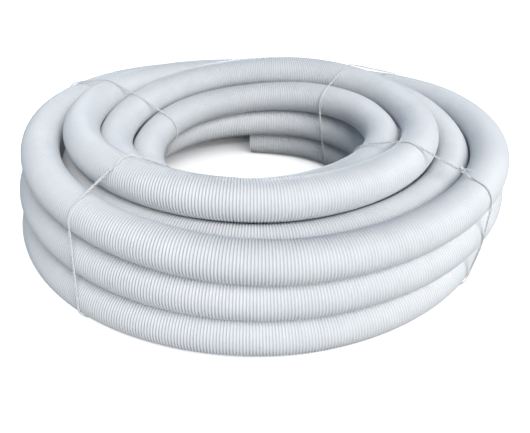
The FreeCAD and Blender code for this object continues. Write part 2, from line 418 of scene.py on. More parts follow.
@dataclass(frozen=True)
class RibbedWall:
    """The wall of the hose: one rib wound round it as a helix, and a smooth bore."""

    outer: float = 0.047
    bore: float = 0.038
    pitch: float = 0.00324
    groove_depth: float = 0.0016
    narrowness: float = 1.6
    samples: int = 5
    columns: int = 30
    bore_step: float = 0.02
    bands: int = 8
    unevenness: float = 0.00022
    long_wave: float = 23.0
    short_wave: float = 61.0
    short_share: float = 0.6
    end_clearance: float = 0.25

    def valley(self, phase: Array) -> Array:
        """How deep the groove is at a phase of the rib: 0 on its crest and 1 at the bottom."""
        return (0.5 + 0.5 * np.cos(FULL_TURN * phase)) ** self.narrowness

    def outer_radius(self, distance: Array, angle: Array, valley: Array) -> Array:
        """Radius of the skin, with the slight unevenness of a soft hose."""
        slow = np.sin(self.long_wave * distance + 2.0 * angle)
        quick = self.short_share * np.sin(self.short_wave * distance - angle)
        highest = 1.0 + self.short_share
        sunk = self.unevenness * (highest + slow + quick) / (2.0 * highest)
        return self.outer / 2.0 - sunk - self.groove_depth * valley

    def stretch(self, line: CentreLine, start: float, end: float) -> Surface:
        """Build a closed stretch of hose.

        Args:
            line: The hose's centre line.
            start: Distance along it where the stretch starts.
            end: Distance where it ends.

        Returns:
            Its surface. The rib goes on from one stretch to the next.
        """
        surface = Surface()
        first, last = self._add_skin(surface, line, start, end)
        self._add_bore(surface, line, start, end, first, last)
        return surface

    def _round(self, line: CentreLine, distance: Array, angle: Array, radius: Array) -> Array:
        """Places round the line."""
        _, outward, upward = line.frames(distance)
        spoke = outward * np.cos(angle)[..., None] + upward * np.sin(angle)[..., None]
        return line.at(distance) + spoke * radius[..., None]

    def _rest(self, distance: Array, angle: Array, radius: Array) -> Array:
        """Places on the straightened hose."""
        return np.stack([distance, radius * np.cos(angle), radius * np.sin(angle)], axis=-1)

    def _angles(self) -> Array:
        """Angles of the columns round the hose; the first is at its underside."""
        return -math.pi / 2.0 + FULL_TURN * np.arange(self.columns) / self.columns

    def _add_skin(self, surface: Surface, line: CentreLine, start: float, end: float) -> tuple[Array, Array]:
        """Add the ribbed skin, whose rows follow the helix and are cut off square at both ends.

        Args:
            surface: What it is added to.
            line: The hose's centre line.
            start: Distance along it where the skin starts.
            end: Distance where it ends.

        Returns:
            The vertex numbers of its first and last ring.
        """
        step = self.pitch / self.samples
        lead = np.arange(self.columns) / self.columns
        low = math.floor(start / step) - self.samples - 1
        rows = np.arange(low, math.ceil(end / step) + self.samples + 2)
        distance = (rows[:, None] + self.samples * lead[None, :]) * step
        clear = self.end_clearance * step
        inside = (distance > start + clear) & (distance < end - clear)
        angle = np.broadcast_to(self._angles(), distance.shape)

        def add(where: Array, turn: Array) -> Array:
            phase = where / self.pitch - lead_of(turn)
            valley = self.valley(phase)
            radius = self.outer_radius(where, turn, valley)
            places = self._round(line, where, turn, radius)
            return surface.add_vertices(places, self._rest(where, turn, radius), valley)

        def lead_of(turn: Array) -> Array:
            return (turn + math.pi / 2.0) / FULL_TURN

        first = add(np.full(self.columns, start), self._angles())
        last = add(np.full(self.columns, end), self._angles())
        numbers = np.where(distance < (start + end) / 2.0, first[None, :], last[None, :])
        numbers[inside] = add(distance[inside], angle[inside])
        # The last column's neighbour is the first column one whole rib further on.
        grid = np.concatenate([numbers[: -self.samples], numbers[self.samples :, :1]], axis=1)
        count = grid.shape[0] - 1
        per_band = math.ceil(count / self.bands)
        row = np.arange(count)
        band = row // per_band
        column = np.arange(self.columns)
        span = per_band + 1.0

        def corner(down: int, over: int) -> Array:
            across = ((row - band * per_band + down + 0.5) / span)[:, None] + 0.0 * column[None, :]
            share = (column[None, :] + over) / self.columns
            up = (band[:, None] + MARGIN + PACKING * share) / (self.bands + 1)
            return np.stack([across, up], axis=-1)

        layout = np.stack([corner(0, 0), corner(1, 0), corner(1, 1), corner(0, 1)], axis=-2)
        surface.add_faces(quads(grid), layout.reshape(-1, 4, 2), Face.SKIN)
        return first, last

    def _add_bore(
        self, surface: Surface, line: CentreLine, start: float, end: float, first: Array, last: Array
    ) -> None:
        """Add the bore and the cut faces that join it to the skin.

        Args:
            surface: What they are added to.
            line: The hose's centre line.
            start: Distance along it where the bore starts.
            end: Distance where it ends.
            first: Vertex numbers of the skin's first ring.
            last: Vertex numbers of the skin's last ring.
        """
        count = max(3, math.ceil((end - start) / self.bore_step) + 1)
        distance = np.broadcast_to(np.linspace(start, end, count)[:, None], (count, self.columns))
        angle = np.broadcast_to(self._angles(), distance.shape)
        radius = np.full(distance.shape, self.bore / 2.0)
        places = self._round(line, distance, angle, radius)
        bore = surface.add_vertices(places, self._rest(distance, angle, radius), np.zeros(distance.shape))
        rings = np.concatenate([first[None, :], bore, last[None, :]])
        rings = np.concatenate([rings, rings[:, :1]], axis=1)[:, ::-1]
        share = np.concatenate([[0.0], np.linspace(MARGIN, 1.0 - MARGIN, count), [1.0]])
        up = (self.bands + MARGIN + PACKING * np.arange(self.columns + 1) / self.columns) / (self.bands + 1)
        surface.add_faces(quads(rings), quad_layout(share[:, None], up[None, :]), Face.INSIDE)
        surface.sharp_rings += [first, bore[0], bore[-1], last]


@dataclass
class Hose:
    """The whole hose: two free ends and ten turns between them."""

    winding: Winding = field(default_factory=Winding)
    wall: RibbedWall = field(default_factory=RibbedWall)
    turns: tuple[str, ...] = (
        "inner_turn_1",
        "inner_turn_2",
        "inner_turn_3",
        "crossing_turn",
        "middle_turn_3",
        "middle_turn_2",
        "middle_turn_1",
        "outer_turn_1",
        "outer_turn_2",
        "outer_turn_3",
    )
    runs_per_turn: int = 20
    inner_pivot_run: int = 1
    outer_pivot_run: int = 198
    end_root: float = 0.2
    bend_behind: float = 0.014
    bend_ahead: float = 0.074
    path_step: float = 0.004
    line_steps: int = 24

    def build(self, finishes: list[bpy.types.Material]) -> list[bpy.types.Object]:
        """Build the hose's pieces and tie its turns to the frame.

        Args:
            finishes: The materials of its skin and of its inside.

        Returns:
            The pieces, from the inner end to the outer end.
        """
        route = self.winding.route()
        line = CentreLine(spline_line(route, self.line_steps))
        LOG.info("hose: %.3f m on its centre line", line.length)

        def pivot(run: int) -> float:
            return line.nearest((np.array(route[run]) + np.array(route[run + 1])) / 2.0)

        inner, outer = pivot(self.inner_pivot_run), pivot(self.outer_pivot_run)
        joins = [pivot(self.inner_pivot_run + self.runs_per_turn * i) for i in range(1, len(self.turns))]
        marks = [inner + self.end_root, *joins, outer - self.end_root]
        pieces = [self._end(line, "inner_end", 0.0, marks[0], finishes)]
        for name, start, end in zip(self.turns, marks[:-1], marks[1:]):
            pieces.append(self._turn(line, name, start, end, finishes))
        pieces.append(self._end(line, "outer_end", marks[-1], line.length, finishes))
        return pieces

    def _piece(
        self, line: CentreLine, name: str, start: float, end: float, finishes: list[bpy.types.Material]
    ) -> bpy.types.Object:
        """Build one stretch and dress it."""
        piece = self.wall.stretch(line, start, end).build("ribbed_" + name)
        for finish in finishes:
            piece.data.materials.append(finish)
        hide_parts("hose_" + name)
        LOG.info("%s: %.3f m, %d faces", piece.name, end - start, len(piece.data.polygons))
        return piece

    def _turn(
        self, line: CentreLine, name: str, start: float, end: float, finishes: list[bpy.types.Material]
    ) -> bpy.types.Object:
        """Build one turn of the coil."""
        piece = self._piece(line, name, start, end, finishes)
        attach(piece, Body.COIL.value)
        line.stretch(start, end, self.path_step)
        return piece

    def _end(
        self,
        line: CentreLine,
        name: str,
        start: float,
        end: float,
        finishes: list[bpy.types.Material],
    ) -> bpy.types.Object:
        """Build a free end.

        Args:
            line: The hose's centre line.
            name: The end's name, which is also its body's.
            start: Distance along the line where the piece starts.
            end: Distance where it ends.
            finishes: The materials of its skin and of its inside.

        Returns:
            The piece.
        """
        piece = self._piece(line, name, start, end, finishes)
        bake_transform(piece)
        path = line.stretch(start, end, self.path_step)
        return piece


# --------------------------------------------------------------------------------------------------
# The ties
# --------------------------------------------------------------------------------------------------


def cross_2d(a: tuple[float, float], b: tuple[float, float], c: tuple[float, float]) -> float:
    """Twice the area of a triangle, positive when it turns to the left."""
    return (b[0] - a[0]) * (c[1] - a[1]) - (b[1] - a[1]) * (c[0] - a[0])


def hull(points: list[tuple[float, float]]) -> list[tuple[float, float]]:
    """Corners of the convex outline round some points, anticlockwise."""

    def chain(ordered: list[tuple[float, float]]) -> list[tuple[float, float]]:
        """One side of the outline."""
        line: list[tuple[float, float]] = []
        for point in ordered:
            while len(line) > 1 and cross_2d(line[-2], line[-1], point) <= 0.0:
                line.pop()
            line.append(point)
        return line[:-1]

    points = sorted(points)
    return chain(points) + chain(points[::-1])


def carried_frames(points: Array) -> tuple[Array, Array, Array]:
    """Directions along a line that turn with it and don't twist.

    Args:
        points: The line's points.

    Returns:
        The directions ahead and the two across it, for each point.
    """
    ahead = unit(np.gradient(points, axis=0))
    side = np.zeros_like(ahead)
    start = np.cross(ahead[0], [0.0, 0.0, 1.0])
    if np.linalg.norm(start) < 0.1:
        start = np.cross(ahead[0], [1.0, 0.0, 0.0])
    side[0] = unit(start)
    for i in range(1, len(points)):
        side[i] = unit(side[i - 1] - ahead[i] * np.dot(side[i - 1], ahead[i]))
    return ahead, side, np.cross(ahead, side)


@dataclass(frozen=True)
class Twine:
    """White twine laid up from three plies."""

    diameter: float = 0.0015
    plies: int = 3
    # A ply's radius as a share of the diameter, and how far apart the plies lie on the finish.
    ply_share: float = 0.27
    ply_shift: float = 0.01
    narrowness: float = 1.2
    lay_length: float = 0.0045
    step: float = 0.0006
    sides: int = 6
    tip_share: float = 0.35

    def add_strand(self, surface: Surface, line: Array, band: tuple[float, float], closed: bool) -> None:
        """Add one strand of twine along a line.

        Args:
            surface: What it is added to.
            line: The points that it follows; a closed line ends where it starts.
            band: The part of the bake layout that it takes, from and to.
            closed: Whether the strand meets itself.
        """
        along = np.concatenate([[0.0], np.cumsum(np.linalg.norm(np.diff(line, axis=0), axis=1))])
        count = max(4, round(along[-1] / self.step))
        where = np.linspace(0.0, along[-1], count + 1)
        centre = np.stack([np.interp(where, along, line[:, k]) for k in range(3)], axis=-1)
        _, side, up = carried_frames(centre)
        turns = round(along[-1] / self.lay_length) if closed else along[-1] / self.lay_length
        drift = self._closing_twist(side, up) if closed else 0.0
        ply_radius = self.ply_share * self.diameter
        ply_reach = 0.5 * self.diameter - ply_radius
        for ply in range(self.plies):
            share = where / along[-1]
            spin = FULL_TURN * (turns * share + ply / self.plies) + drift * share
            middle = centre + ply_reach * (side * np.cos(spin)[:, None] + up * np.sin(spin)[:, None])
            turn = FULL_TURN * np.arange(self.sides) / self.sides
            around = spin[:, None] + turn[None, :]
            spoke = side[:, None, :] * np.cos(around)[..., None] + up[:, None, :] * np.sin(around)[..., None]
            places = middle[:, None, :] + spoke * ply_radius
            # 0 on a ply's outer side and 1 where it meets the other plies; the twine's finish paints shade
            # there.
            valley = np.broadcast_to((0.5 - 0.5 * np.cos(turn)) ** self.narrowness, around.shape)
            across = (ply_radius * np.cos(turn), self.ply_shift * ply + ply_radius * np.sin(turn))
            rest = np.stack(np.broadcast_arrays(where[:, None], *across), axis=-1)
            grid = surface.add_vertices(places, rest, valley)
            low = band[0] + (band[1] - band[0]) * ply / self.plies
            high = band[0] + (band[1] - band[0]) * (ply + PACKING) / self.plies
            if closed and self._meets_itself(grid, places):
                grid = np.concatenate([grid[:-1], grid[:1]])
            ringed = np.concatenate([grid, grid[:, :1]], axis=1)
            spread = low + (high - low) * np.arange(self.sides + 1) / self.sides
            surface.add_faces(quads(ringed), quad_layout(share[:, None], spread[None, :]), Face.SKIN)
            if not closed:
                self._cap(surface, ringed[0], middle[0], where[0], (0.0, low))
                self._cap(surface, ringed[-1][::-1], middle[-1], where[-1], (1.0, low))

    def add_fibre(self, surface: Surface, line: Array, diameter: float, band: tuple[float, float]) -> None:
        """Add one loose fibre, thinning to its tip."""
        _, side, up = carried_frames(line)
        turn = FULL_TURN * np.arange(3) / 3.0
        thinning = np.linspace(1.0, self.tip_share, len(line))[:, None, None] * diameter / 2.0
        spoke = side[:, None, :] * np.cos(turn)[None, :, None] + up[:, None, :] * np.sin(turn)[None, :, None]
        places = line[:, None, :] + spoke * thinning
        grid = surface.add_vertices(places, places, np.zeros(places.shape[:2]))
        ringed = np.concatenate([grid, grid[:, :1]], axis=1)
        spread = np.linspace(band[0], band[1], 4)
        share = np.linspace(0.0, 1.0, len(line))
        surface.add_faces(quads(ringed), quad_layout(share[:, None], spread[None, :]), Face.SKIN)
        for ring, corner in ((ringed[0], 0.0), (ringed[-1][::-1], 1.0)):
            faces = np.stack([ring[2], ring[1], ring[0], ring[0]])[None, :]
            surface.add_faces(faces, np.broadcast_to(np.array((corner, band[0])), (1, 4, 2)), Face.SKIN)

    def _meets_itself(self, grid: Array, places: Array) -> bool:
        """Whether the last ring lies on the first."""
        apart = np.linalg.norm(places[0] - places[-1], axis=-1).max()
        return bool(apart < 0.5 * self.step) and len(grid) > 2

    def _closing_twist(self, side: Array, up: Array) -> float:
        """How much more a closed strand turns so that its plies meet."""
        return -math.atan2(float(side[-1] @ up[0]), float(side[-1] @ side[0]))

    def _cap(
        self, surface: Surface, ring: Array, middle: Array, where: float, corner: tuple[float, float]
    ) -> None:
        """Close the end of a ply."""
        rest = np.array([where, 0.0, 0.0])
        centre = surface.add_vertices(middle[None, :], rest[None, :], np.zeros(1))[0]
        inner = np.full(self.sides, centre)
        faces = np.stack([ring[1:], ring[:-1], inner, inner], axis=1)
        layout = np.broadcast_to(np.array(corner), (self.sides, 4, 2))
        surface.add_faces(faces, layout, Face.SKIN)


@dataclass(frozen=True)
class TieLayout:
    """Which part of the bake layout's width each part of a tie takes."""

    strand_pitch: float = 0.4
    strand_width: float = 0.38
    knot: tuple[float, float] = (0.80, 0.86)
    tails: float = 0.87
    tail_pitch: float = 0.05
    tail_width: float = 0.02
    fibres: tuple[float, float] = (0.021, 0.029)


TIE_LAYOUT = TieLayout()


@dataclass(frozen=True)
class Seat:
    """Where a knot sits: its middle, and the directions along the twine, off the hose and across."""

    middle: Array
    along: Array
    off: Array
    across: Array

    def place(self, along: Array, off: Array, across: Array) -> Array:
        """Points from their distances along the twine, off the hose and across."""
        return (
            self.middle
            + self.along * np.asarray(along)[..., None]
            + self.off * np.asarray(off)[..., None]
            + self.across * np.asarray(across)[..., None]
        )


@dataclass(frozen=True)
class Knot:
    """A small overhand knot with two cut, frayed tails."""

    length: float = 0.0080
    width: float = 0.0060
    height: float = 0.0046
    tail: float = 0.0115
    lean: float = 58.0
    droop: float = 0.35
    sink: float = 0.0006
    tail_unevenness: float = 0.14
    tail_bow: float = 0.10
    tail_apart: float = 0.0011
    tail_sway: float = 0.0012
    tail_points: int = 24
    fibres: int = 9
    fibre_length: float = 0.0042
    fibre_diameter: float = 0.00016
    fibre_shortest: float = 0.35
    fibre_spread: float = 0.55
    fibre_curl: float = 0.0007
    fibre_root: float = 0.0006
    root_share: float = 0.4
    fibre_points: int = 7
    loop_points: int = 72
    # How far the knot's bare curve reaches along and across, by which it is brought to size.
    loop_length: float = 2.76
    loop_width: float = 3.0

    def add(self, surface: Surface, seat: Seat, twine: Twine, rng: np.random.Generator) -> None:
        """Add the knot and its tails.

        Args:
            surface: What they are added to.
            seat: Where the knot sits.
            twine: The twine that it is tied in.
            rng: Where the unevenness comes from.
        """
        turn = np.linspace(0.0, FULL_TURN, self.loop_points + 1)
        half_length = (self.length - twine.diameter) / 2.0
        half_width = (self.width - twine.diameter) / 2.0
        half_height = (self.height - twine.diameter) / 2.0
        along = (np.sin(turn) + 2.0 * np.sin(2.0 * turn)) / self.loop_length * half_length
        across = (np.cos(turn) - 2.0 * np.cos(2.0 * turn)) / self.loop_width * half_width
        off = -np.sin(3.0 * turn) * half_height + self.height / 2.0 - self.sink
        twine.add_strand(surface, seat.place(along, off, across), TIE_LAYOUT.knot, closed=True)
        for number, forward in enumerate((1.0, -1.0)):
            band = TIE_LAYOUT.tails + TIE_LAYOUT.tail_pitch * number
            self._add_tail(surface, seat, twine, forward, band, rng)

    def _add_tail(
        self,
        surface: Surface,
        seat: Seat,
        twine: Twine,
        forward: float,
        band: float,
        rng: np.random.Generator,
    ) -> None:
        """Add one cut tail, which leans over and ends in loose fibres.

        Args:
            surface: What it is added to.
            seat: Where the knot sits.
            twine: The twine that it is tied in.
            forward: 1 for the tail that leaves along the twine, -1 for the other.
            band: Where the tail's part of the bake layout starts.
            rng: Where the unevenness comes from.
        """
        lean = math.radians(self.lean)
        share = np.linspace(0.0, 1.0, self.tail_points)
        length = self.tail * (1.0 - self.tail_unevenness + self.tail_unevenness * rng.random())
        sway = self.tail_sway * (rng.random() - 0.5)
        along = forward * length * math.sin(lean) * share * (1.0 + self.tail_bow * share)
        off = self.height / 2.0 + length * math.cos(lean) * share * (1.0 - self.droop * share)
        across = sway * np.sin(math.pi * share) + forward * self.tail_apart * share
        line = seat.place(along, off, across)
        twine.add_strand(surface, line, (band, band + TIE_LAYOUT.tail_width), closed=False)
        ahead = unit(line[-1] - line[-2])
        low, high = TIE_LAYOUT.fibres
        for _ in range(self.fibres):
            aim = unit(ahead + self.fibre_spread * (rng.random(3) - 0.5))
            curl = self.fibre_curl * (rng.random(3) - 0.5)
            root = self.root_share * twine.diameter * (rng.random(3) - 0.5)
            start = line[-1] - self.fibre_root * ahead + root
            reach = self.fibre_length * (self.fibre_shortest + (1.0 - self.fibre_shortest) * rng.random())
            steps = np.linspace(0.0, 1.0, self.fibre_points)[:, None]
            hair = start + aim * reach * steps + curl * steps**2
            twine.add_fibre(surface, hair, self.fibre_diameter, (band + low, band + high))


@dataclass
class Tie:
    """One twine tie: two strands round the bundle, their knot and its tails."""

    name: str
    angle: float
    facing: tuple[float, float]
    winding: Winding = field(default_factory=Winding)
    twine: Twine = field(default_factory=Twine)
    knot: Knot = field(default_factory=Knot)
    knot_slide: float = 0.0
    strand_gap: float = 0.0002
    room: float = 0.0007
    bridge: float = 0.014
    underside: float = -0.5
    bridge_twist: float = 0.011
    bridge_step: float = 0.0012
    arc_step: float = 4.0

    def corners(self) -> list[tuple[float, float]]:
        """Corners of the convex outline of the hose sections that the tie goes round."""
        turns = range(len(self.winding.lay))
        return hull([self.winding.section(self.angle + 360.0 * turn) for turn in turns])

    def normals(self, corners: list[tuple[float, float]]) -> list[tuple[float, float]]:
        """Outward normal of each straight stretch, from a corner to the next one."""
        result = []
        for a, b in zip(corners, corners[1:] + corners[:1]):
            length = math.hypot(b[0] - a[0], b[1] - a[1])
            result.append(((b[1] - a[1]) / length, -(b[0] - a[0]) / length))
        return result

    @property
    def stand_off(self) -> float:
        """How far the tie's centre line is from the centre line of a turn that it goes round."""
        return self.winding.hose_outer / 2.0 + self.room + self.twine.diameter / 2.0

    def loop(self) -> Array:
        """Go round the bundle on the tie's centre line.

        Returns:
            For each point its radius and height, the normal's two parts and how far the strands have turned
            round each other, which they do only where they bridge a gap between turns.
        """
        corners = self.corners()
        normals = self.normals(corners)
        rows = []
        twisted = 0.0
        for i, corner in enumerate(corners):
            start = math.atan2(normals[i - 1][1], normals[i - 1][0])
            sweep = (math.atan2(normals[i][1], normals[i][0]) - start) % FULL_TURN
            steps = max(2, math.ceil(sweep / math.radians(self.arc_step)))
            for k in range(steps + 1):
                turn = start + sweep * k / steps
                normal = (math.cos(turn), math.sin(turn))
                spot = (corner[0] + self.stand_off * normal[0], corner[1] + self.stand_off * normal[1])
                rows.append((*spot, *normal, twisted))
            following = corners[(i + 1) % len(corners)]
            length = math.hypot(following[0] - corner[0], following[1] - corner[1])
            hanging = length > 2.0 * self.bridge and normals[i][1] > self.underside
            turns = round((length - self.bridge) / self.bridge_twist) if hanging else 0
            steps = math.ceil(length / self.bridge_step)
            for k in range(1, steps):
                share = k / steps
                eased = share * share * (3.0 - 2.0 * share)
                radius = corner[0] + (following[0] - corner[0]) * share + self.stand_off * normals[i][0]
                height = corner[1] + (following[1] - corner[1]) * share + self.stand_off * normals[i][1]
                rows.append((radius, height, *normals[i], twisted + FULL_TURN * turns * eased))
            twisted += FULL_TURN * turns
        rows.append((*rows[0][:4], twisted))
        return np.array(rows)

    def seat(self, outward: Array, base: Array, sideways: Array) -> Seat:
        """Place the knot in the middle of the straight stretch that faces the tie's way."""
        corners = self.corners()
        normals = self.normals(corners)
        scores = [normal[0] * self.facing[0] + normal[1] * self.facing[1] for normal in normals]
        best = scores.index(max(scores))
        start, end = corners[best], corners[(best + 1) % len(corners)]
        normal = normals[best]
        reach = self.stand_off + self.twine.diameter / 2.0
        upward = np.array([0.0, 0.0, 1.0])
        middle = base + outward * ((start[0] + end[0]) / 2.0 + normal[0] * reach)
        middle = middle + upward * ((start[1] + end[1]) / 2.0 + normal[1] * reach)
        along = unit(outward * (end[0] - start[0]) + upward * (end[1] - start[1]))
        middle = middle + along * self.knot_slide
        return Seat(middle, along, unit(outward * normal[0] + upward * normal[1]), sideways)

    def build(self, finish: bpy.types.Material) -> bpy.types.Object:
        """Build the tie and tie it to the frame.

        Args:
            finish: The twine's material.

        Returns:
            The piece.
        """
        surface = Surface()
        turn = math.radians(self.angle)
        outward = np.array([math.sin(turn), math.cos(turn), 0.0])
        sideways = np.array([math.cos(turn), -math.sin(turn), 0.0])
        upward = np.array([0.0, 0.0, 1.0])
        base = np.array(self.winding.place(self.angle, 0.0, 0.0))
        rows = self.loop()
        centre = base + outward * rows[:, 0:1] + upward * rows[:, 1:2]
        normal = outward * rows[:, 2:3] + upward * rows[:, 3:4]
        offset = (self.twine.diameter + self.strand_gap) / 2.0
        apart = offset * (sideways * np.cos(rows[:, 4:5]) + normal * np.sin(rows[:, 4:5]))
        for number, side in enumerate((-1.0, 1.0)):
            low = TIE_LAYOUT.strand_pitch * number
            band = (low, low + TIE_LAYOUT.strand_width)
            self.twine.add_strand(surface, centre + side * apart, band, closed=True)
        rng = np.random.default_rng(round(self.angle))
        self.knot.add(surface, self.seat(outward, base, sideways), self.twine, rng)
        piece = surface.build("twine_" + self.name)
        piece.data.materials.append(finish)
        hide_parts(self.name)
        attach(piece, Body.COIL.value)
        LOG.info("%s: %d faces", piece.name, len(piece.data.polygons))
        return piece


# --------------------------------------------------------------------------------------------------
# Finishes
# --------------------------------------------------------------------------------------------------


def add_node(tree: bpy.types.NodeTree, kind: str, **settings: object) -> bpy.types.Node:
    """Add a shader node.

    Args:
        tree: What it is added to.
        kind: Its type's name.
        settings: Its properties.

    Returns:
        The node.
    """
    node = tree.nodes.new(kind)
    for name, value in settings.items():
        setattr(node, name, value)
    return node


def set_inputs(node: bpy.types.Node, **values: object) -> None:
    """Set a node's inputs, each named with underscores for spaces, to a value or to its source."""
    for word, value in values.items():
        socket = node.inputs[word.replace("_", " ")]
        if isinstance(value, bpy.types.NodeSocket):
            node.id_data.links.new(value, socket)
        else:
            socket.default_value = value


def new_group(
    name: str, inputs: dict[str, tuple[str, object]], outputs: dict[str, str]
) -> bpy.types.NodeTree:
    """Start a shader node group.

    Args:
        name: The group's name.
        inputs: For each input its socket type and its usual value.
        outputs: For each output its socket type.

    Returns:
        The group, which holds its input and output nodes.
    """
    group = bpy.data.node_groups.new(name, "ShaderNodeTree")
    for label, (kind, value) in inputs.items():
        socket = group.interface.new_socket(label, in_out="INPUT", socket_type=kind)
        if value is not None:
            socket.default_value = value
    for label, kind in outputs.items():
        group.interface.new_socket(label, in_out="OUTPUT", socket_type=kind)
    group.nodes.new("NodeGroupInput")
    group.nodes.new("NodeGroupOutput")
    return group


def rgba(colour: Colour) -> tuple[float, float, float, float]:
    """The colour with full opacity."""
    return (*colour, 1.0)


class Effects:
    """The shader node groups that the finishes share."""

    def __init__(self) -> None:
        """Build each group once."""
        self.mottle = self._make_mottle()
        self.grain = self._make_grain()
        self.valley_shade = self._make_valley_shade()

    @staticmethod
    def _make_mottle() -> bpy.types.NodeTree:
        """A colour that varies slowly between two tones."""
        group = new_group(
            "slow_mottle",
            {
                "Vector": ("NodeSocketVector", None),
                "Scale": ("NodeSocketFloat", 30.0),
                "Light": ("NodeSocketColor", (1.0, 1.0, 1.0, 1.0)),
                "Dark": ("NodeSocketColor", (0.8, 0.8, 0.8, 1.0)),
            },
            {"Color": "NodeSocketColor"},
        )
        given = group.nodes["Group Input"].outputs
        noise = add_node(group, "ShaderNodeTexNoise")
        set_inputs(noise, Vector=given["Vector"], Scale=given["Scale"], Detail=4.0, Roughness=0.55)
        spread = add_node(group, "ShaderNodeMapRange", clamp=True)
        set_inputs(spread, Value=noise.outputs["Fac"], From_Min=0.35, From_Max=0.65)
        mix = add_node(group, "ShaderNodeMixRGB")
        set_inputs(mix, Fac=spread.outputs["Result"], Color1=given["Dark"], Color2=given["Light"])
        set_inputs(group.nodes["Group Output"], Color=mix.outputs["Color"])
        return group

    @staticmethod
    def _make_grain() -> bpy.types.NodeTree:
        """A fine height and a mask from it, for bump and gloss."""
        group = new_group(
            "fine_grain",
            {
                "Vector": ("NodeSocketVector", None),
                "Scale": ("NodeSocketFloat", 900.0),
                "Coarse Share": ("NodeSocketFloat", 0.4),
            },
            {"Height": "NodeSocketFloat", "Mask": "NodeSocketFloat"},
        )
        given = group.nodes["Group Input"].outputs
        fine = add_node(group, "ShaderNodeTexNoise")
        set_inputs(fine, Vector=given["Vector"], Scale=given["Scale"], Detail=3.0, Roughness=0.6)
        eighth = add_node(group, "ShaderNodeMath", operation="MULTIPLY")
        eighth.inputs[1].default_value = 0.125
        group.links.new(given["Scale"], eighth.inputs[0])
        coarse = add_node(group, "ShaderNodeTexNoise")
        set_inputs(coarse, Vector=given["Vector"], Scale=eighth.outputs[0], Detail=2.0, Roughness=0.5)
        mix = add_node(group, "ShaderNodeMix", data_type="FLOAT")
        group.links.new(given["Coarse Share"], mix.inputs["Factor"])
        group.links.new(fine.outputs["Fac"], mix.inputs["A"])
        group.links.new(coarse.outputs["Fac"], mix.inputs["B"])
        spread = add_node(group, "ShaderNodeMapRange", clamp=True)
        set_inputs(spread, Value=mix.outputs["Result"], From_Min=0.38, From_Max=0.62)
        set_inputs(group.nodes["Group Output"], Height=mix.outputs["Result"], Mask=spread.outputs["Result"])
        return group

    @staticmethod
    def _make_valley_shade() -> bpy.types.NodeTree:
        """Painted shade that is deepest in the valleys and thin elsewhere, patchy by a noise."""
        group = new_group(
            "valley_painted_shade",
            {
                "Color": ("NodeSocketColor", (1.0, 1.0, 1.0, 1.0)),
                "Dust": ("NodeSocketColor", (0.5, 0.5, 0.5, 1.0)),
                "Valley": ("NodeSocketFloat", 0.0),
                "Amount": ("NodeSocketFloat", 0.5),
                "Vector": ("NodeSocketVector", None),
                "Scale": ("NodeSocketFloat", 60.0),
            },
            {"Color": "NodeSocketColor"},
        )
        given = group.nodes["Group Input"].outputs
        noise = add_node(group, "ShaderNodeTexNoise")
        set_inputs(noise, Vector=given["Vector"], Scale=given["Scale"], Detail=5.0, Roughness=0.6)
        patch = add_node(group, "ShaderNodeMapRange", clamp=True)
        set_inputs(patch, Value=noise.outputs["Fac"], From_Min=0.3, From_Max=0.75, To_Min=0.55, To_Max=1.0)
        depth = add_node(group, "ShaderNodeMath", operation="MULTIPLY")
        group.links.new(given["Valley"], depth.inputs[0])
        group.links.new(patch.outputs["Result"], depth.inputs[1])
        share = add_node(group, "ShaderNodeMath", operation="MULTIPLY", use_clamp=True)
        group.links.new(depth.outputs[0], share.inputs[0])
        group.links.new(given["Amount"], share.inputs[1])
        mix = add_node(group, "ShaderNodeMixRGB")
        set_inputs(mix, Fac=share.outputs[0], Color1=given["Color"], Color2=given["Dust"])
        set_inputs(group.nodes["Group Output"], Color=mix.outputs["Color"])
        return group


@dataclass(frozen=True)
class Finish:
    """A matt white finish: two tones, a colour of painted shade for its valleys, and a grain."""

    name: str
    light: Colour
    dark: Colour
    valley: Colour
    valley_amount: float
    mottle_scale: float
    grain_scale: float
    coarse_share: float
    bump_depth: float
    roughness: tuple[float, float]
    sheen: float = 0.0

    def material(self, effects: Effects) -> bpy.types.Material:
        """Make the material.

        Args:
            effects: The shared node groups.

        Returns:
            The material.
        """
        made = bpy.data.materials.new(self.name)
        made.use_nodes = True
        tree = made.node_tree
        tree.nodes.clear()
        place = add_node(tree, "ShaderNodeAttribute", attribute_name=REST_PLACE)
        valley = add_node(tree, "ShaderNodeAttribute", attribute_name=VALLEY)
        mottle = add_node(tree, "ShaderNodeGroup", node_tree=effects.mottle)
        set_inputs(
            mottle,
            Vector=place.outputs["Vector"],
            Scale=self.mottle_scale,
            Light=rgba(self.light),
            Dark=rgba(self.dark),
        )
        # The valley colour is mixed in as painted shade, by the valley depth.
        valley_shade = add_node(tree, "ShaderNodeGroup", node_tree=effects.valley_shade)
        set_inputs(
            valley_shade,
            Color=mottle.outputs["Color"],
            Dust=rgba(self.valley),
            Valley=valley.outputs["Fac"],
            Amount=self.valley_amount,
            Vector=place.outputs["Vector"],
        )
        grain = add_node(tree, "ShaderNodeGroup", node_tree=effects.grain)
        set_inputs(
            grain,
            Vector=place.outputs["Vector"],
            Scale=self.grain_scale,
            Coarse_Share=self.coarse_share,
        )
        gloss = add_node(tree, "ShaderNodeMapRange", clamp=True)
        set_inputs(gloss, Value=grain.outputs["Mask"], To_Min=self.roughness[0], To_Max=self.roughness[1])
        bump = add_node(tree, "ShaderNodeBump")
        set_inputs(bump, Height=grain.outputs["Height"], Distance=self.bump_depth, Strength=1.0)
        shader = add_node(tree, "ShaderNodeBsdfPrincipled")
        set_inputs(
            shader,
            Base_Color=valley_shade.outputs["Color"],
            Roughness=gloss.outputs["Result"],
            Normal=bump.outputs["Normal"],
            Sheen_Weight=self.sheen,
        )
        output = add_node(tree, "ShaderNodeOutputMaterial")
        tree.links.new(shader.outputs["BSDF"], output.inputs["Surface"])
        return made


